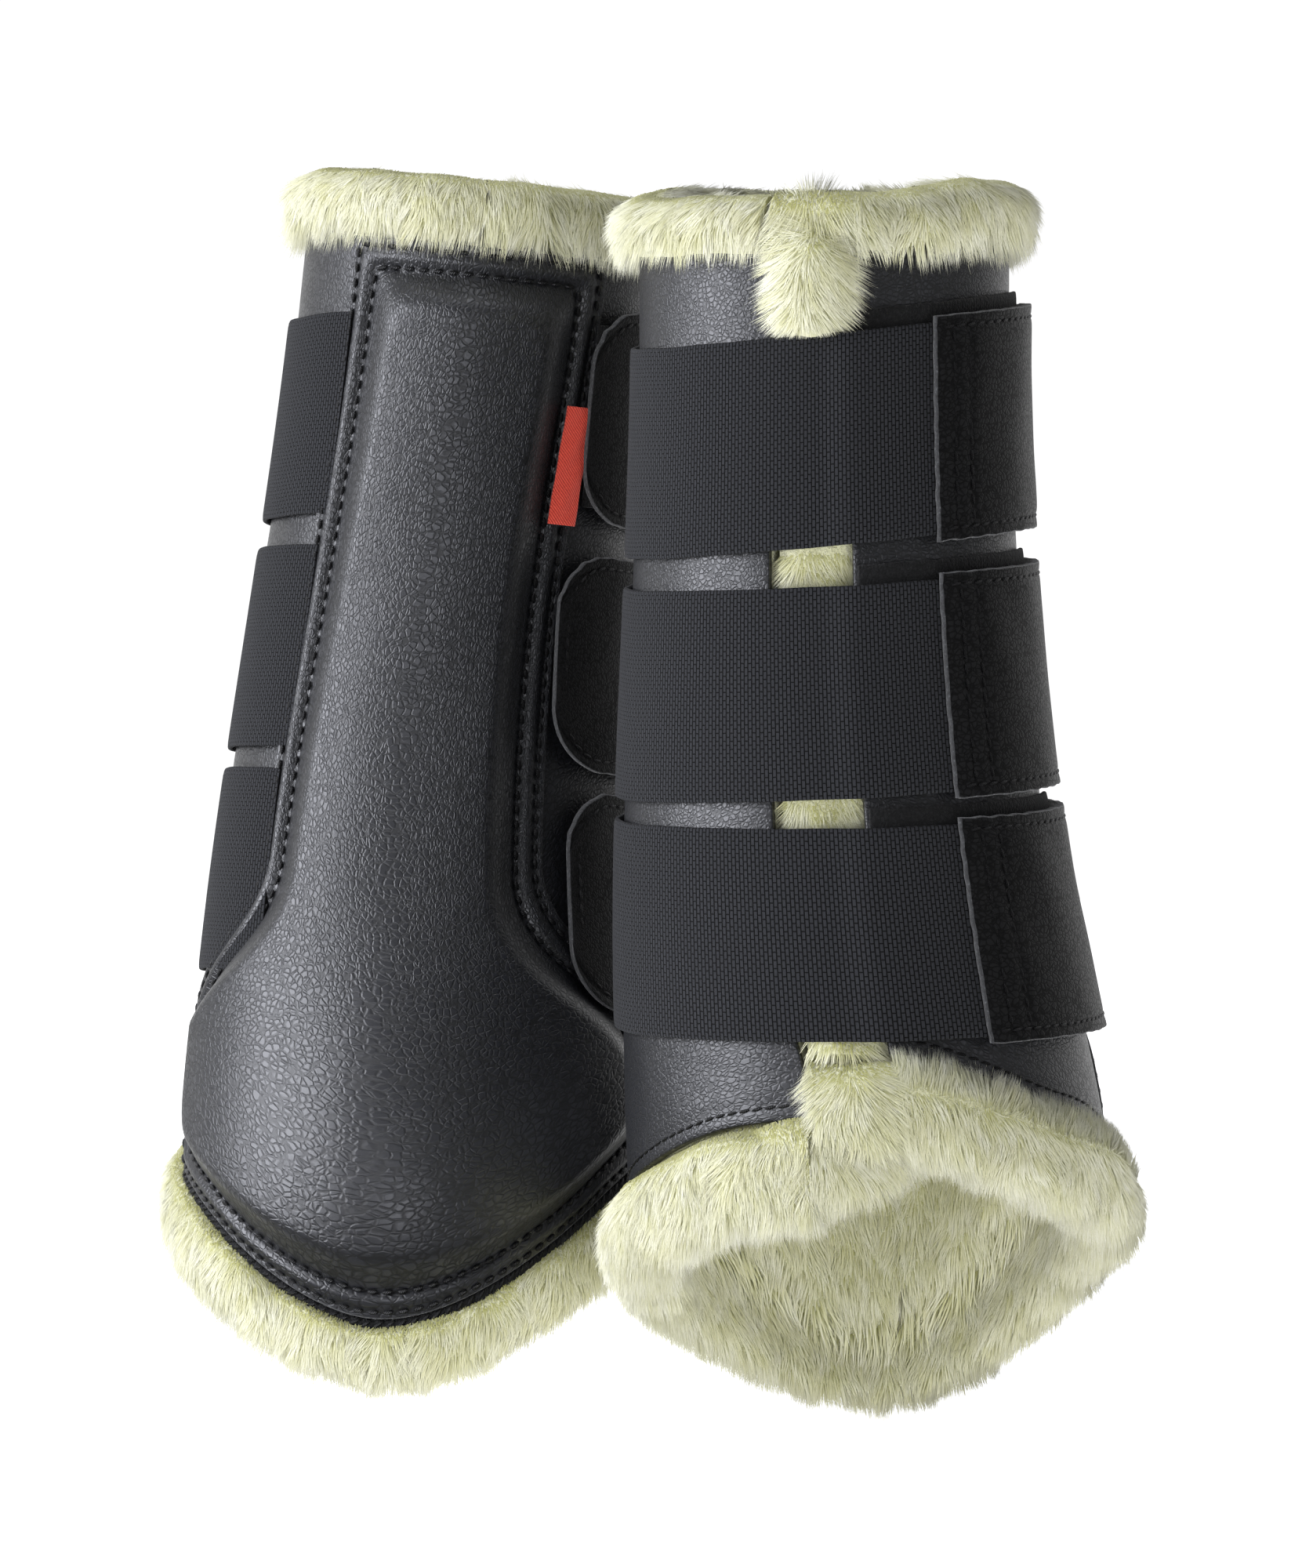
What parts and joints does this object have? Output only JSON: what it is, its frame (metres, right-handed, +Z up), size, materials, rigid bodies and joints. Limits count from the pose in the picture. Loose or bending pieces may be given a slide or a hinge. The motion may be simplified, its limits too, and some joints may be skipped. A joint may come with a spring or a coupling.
{
  "type": "tendon boots",
  "caption": "Pair of horse leg boots: a curved strike pad and two wrap flaps with a thick rolled fleece lining, closed by elastic straps with hook-and-loop tabs.",
  "frame": {"origin": "on the right boot's leg axis at the boot's mid height", "axes": "+Z up the leg; the right boot's closure faces -Y and its strike pad +Y; the left boot stands beside and behind it towards -X with its strike pad facing -Y"},
  "size_m": [0.2386, 0.2232, 0.3007],
  "materials": {
    "leather": "soft sheen, grained synthetic leather",
    "pad_leather": "soft sheen, coarse grained synthetic leather",
    "tab_leather": "dull, fine grained synthetic leather with raw edges",
    "fleece": "long-pile fleece",
    "elastic": "ribbed woven elastic",
    "loop": "brushed loop tape",
    "hook": "hook tape",
    "binding": "brushed binding tape",
    "plate": "moulded, matt",
    "foam": "closed-cell foam",
    "label": "woven tape"
  },
  "bodies": {
    "right_core": {"right_shell_back": "leather", "right_lining_back": "fleece", "right_pad_cover": "pad_leather", "right_pad_foam": "foam", "right_pad_plate": "plate", "right_pad_binding": "binding", "right_label": "label", "right_elastic_root_top": "elastic", "right_elastic_root_middle": "elastic", "right_elastic_root_bottom": "elastic"},
    "right_near_flap": {"right_shell_near": "leather", "right_lining_near": "fleece", "right_elastic_side_top": "elastic", "right_elastic_side_middle": "elastic", "right_elastic_side_bottom": "elastic"},
    "right_far_flap": {"right_shell_far": "leather", "right_lining_far": "fleece", "right_loop_top": "loop", "right_loop_middle": "loop", "right_loop_bottom": "loop"},
    "right_strap_top": {"right_elastic_front_top": "elastic"},
    "right_tab_top": {"right_tab_top": "tab_leather", "right_hook_top": "hook"},
    "right_strap_middle": {"right_elastic_front_middle": "elastic"},
    "right_tab_middle": {"right_tab_middle": "tab_leather", "right_hook_middle": "hook"},
    "right_strap_bottom": {"right_elastic_front_bottom": "elastic"},
    "right_tab_bottom": {"right_tab_bottom": "tab_leather", "right_hook_bottom": "hook"},
    "left_core": {"left_shell_back": "leather", "left_lining_back": "fleece", "left_pad_cover": "pad_leather", "left_pad_foam": "foam", "left_pad_plate": "plate", "left_pad_binding": "binding", "left_label": "label", "left_elastic_root_top": "elastic", "left_elastic_root_middle": "elastic", "left_elastic_root_bottom": "elastic"},
    "left_near_flap": {"left_shell_near": "leather", "left_lining_near": "fleece", "left_elastic_side_top": "elastic", "left_elastic_side_middle": "elastic", "left_elastic_side_bottom": "elastic"},
    "left_far_flap": {"left_shell_far": "leather", "left_lining_far": "fleece", "left_loop_top": "loop", "left_loop_middle": "loop", "left_loop_bottom": "loop"},
    "left_strap_top": {"left_elastic_front_top": "elastic"},
    "left_tab_top": {"left_tab_top": "tab_leather", "left_hook_top": "hook"},
    "left_strap_middle": {"left_elastic_front_middle": "elastic"},
    "left_tab_middle": {"left_tab_middle": "tab_leather", "left_hook_middle": "hook"},
    "left_strap_bottom": {"left_elastic_front_bottom": "elastic"},
    "left_tab_bottom": {"left_tab_bottom": "tab_leather", "left_hook_bottom": "hook"}
  },
  "joints": [
    {"name": "pair_spread", "type": "slide", "parent": "right_core", "child": "left_core", "axis": [-1, 0, 0], "range_m": [0, 0.25]},
    {"name": "right_far_flap_open", "type": "hinge", "parent": "right_core", "child": "right_far_flap", "pos_m": [0.06354, 0.00136, 0.025], "axis": [-0.108, -0.047, 0.993], "range_deg": [0, 50]},
    {"name": "right_near_flap_open", "type": "hinge", "parent": "right_core", "child": "right_near_flap", "pos_m": [-0.05119, 0.02159, 0.025], "axis": [-0.011, 0.0683, -0.9976], "range_deg": [0, 35]},
    {"name": "right_top_strap_swing", "type": "hinge", "parent": "right_near_flap", "child": "right_strap_top", "pos_m": [-0.02336, -0.03942, 0.08056], "axis": [-0.0085, 0.0002, -1], "range_deg": [0, 100]},
    {"name": "right_top_tab_peel", "type": "hinge", "parent": "right_strap_top", "child": "right_tab_top", "pos_m": [0.02617, -0.04217, 0.08511], "axis": [0.0787, -0.0177, -0.9967], "range_deg": [0, 80]},
    {"name": "right_middle_strap_swing", "type": "hinge", "parent": "right_near_flap", "child": "right_strap_middle", "pos_m": [-0.02366, -0.03978, 0.02275], "axis": [-0.0003, -0.0138, -0.9999], "range_deg": [0, 100]},
    {"name": "right_middle_tab_peel", "type": "hinge", "parent": "right_strap_middle", "child": "right_tab_middle", "pos_m": [0.02872, -0.04268, 0.0253], "axis": [0.0787, -0.0177, -0.9967], "range_deg": [0, 80]},
    {"name": "right_bottom_strap_swing", "type": "hinge", "parent": "right_near_flap", "child": "right_strap_bottom", "pos_m": [-0.02256, -0.04151, -0.03274], "axis": [0.0408, -0.049, -0.998], "range_deg": [0, 100]},
    {"name": "right_bottom_tab_peel", "type": "hinge", "parent": "right_strap_bottom", "child": "right_tab_bottom", "pos_m": [0.03487, -0.04407, -0.03169], "axis": [0.0787, -0.0177, -0.9967], "range_deg": [0, 80]},
    {"name": "left_far_flap_open", "type": "hinge", "parent": "left_core", "child": "left_far_flap", "pos_m": [-0.03099, 0.09763, 0.02307], "axis": [-0.0062, -0.0651, -0.9979], "range_deg": [0, 50]},
    {"name": "left_near_flap_open", "type": "hinge", "parent": "left_core", "child": "left_near_flap", "pos_m": [-0.14686, 0.09763, 0.03524], "axis": [0.1269, 0.0654, 0.9898], "range_deg": [0, 35]},
    {"name": "left_top_strap_swing", "type": "hinge", "parent": "left_near_flap", "child": "left_strap_top", "pos_m": [-0.10325, 0.15288, 0.08653], "axis": [0.1129, -0.0012, 0.9936], "range_deg": [0, 100]},
    {"name": "left_top_tab_peel", "type": "hinge", "parent": "left_strap_top", "child": "left_tab_top", "pos_m": [-0.05379, 0.14698, 0.0859], "axis": [0.024, -0.0037, 0.9997], "range_deg": [0, 80]},
    {"name": "left_middle_strap_swing", "type": "hinge", "parent": "left_near_flap", "child": "left_strap_middle", "pos_m": [-0.10953, 0.15329, 0.02906], "axis": [0.1025, -0.0136, 0.9946], "range_deg": [0, 100]},
    {"name": "left_middle_tab_peel", "type": "hinge", "parent": "left_strap_middle", "child": "left_tab_middle", "pos_m": [-0.05746, 0.14704, 0.02615], "axis": [0.024, -0.0037, 0.9997], "range_deg": [0, 80]},
    {"name": "left_bottom_strap_swing", "type": "hinge", "parent": "left_near_flap", "child": "left_strap_bottom", "pos_m": [-0.11395, 0.1548, -0.02627], "axis": [0.0559, -0.0412, 0.9976], "range_deg": [0, 100]},
    {"name": "left_bottom_tab_peel", "type": "hinge", "parent": "left_strap_bottom", "child": "left_tab_bottom", "pos_m": [-0.05715, 0.14735, -0.03118], "axis": [0.024, -0.0037, 0.9997], "range_deg": [0, 80]}
  ],
  "couplings": [
    {"joint": "right_near_flap_open", "follows": "right_far_flap_open", "ratio": 0.7},
    {"joint": "right_top_strap_swing", "follows": "right_far_flap_open", "ratio": 2},
    {"joint": "right_middle_strap_swing", "follows": "right_far_flap_open", "ratio": 2},
    {"joint": "right_bottom_strap_swing", "follows": "right_far_flap_open", "ratio": 2},
    {"joint": "left_near_flap_open", "follows": "left_far_flap_open", "ratio": 0.7},
    {"joint": "left_top_strap_swing", "follows": "left_far_flap_open", "ratio": 2},
    {"joint": "left_middle_strap_swing", "follows": "left_far_flap_open", "ratio": 2},
    {"joint": "left_bottom_strap_swing", "follows": "left_far_flap_open", "ratio": 2}
  ]
}
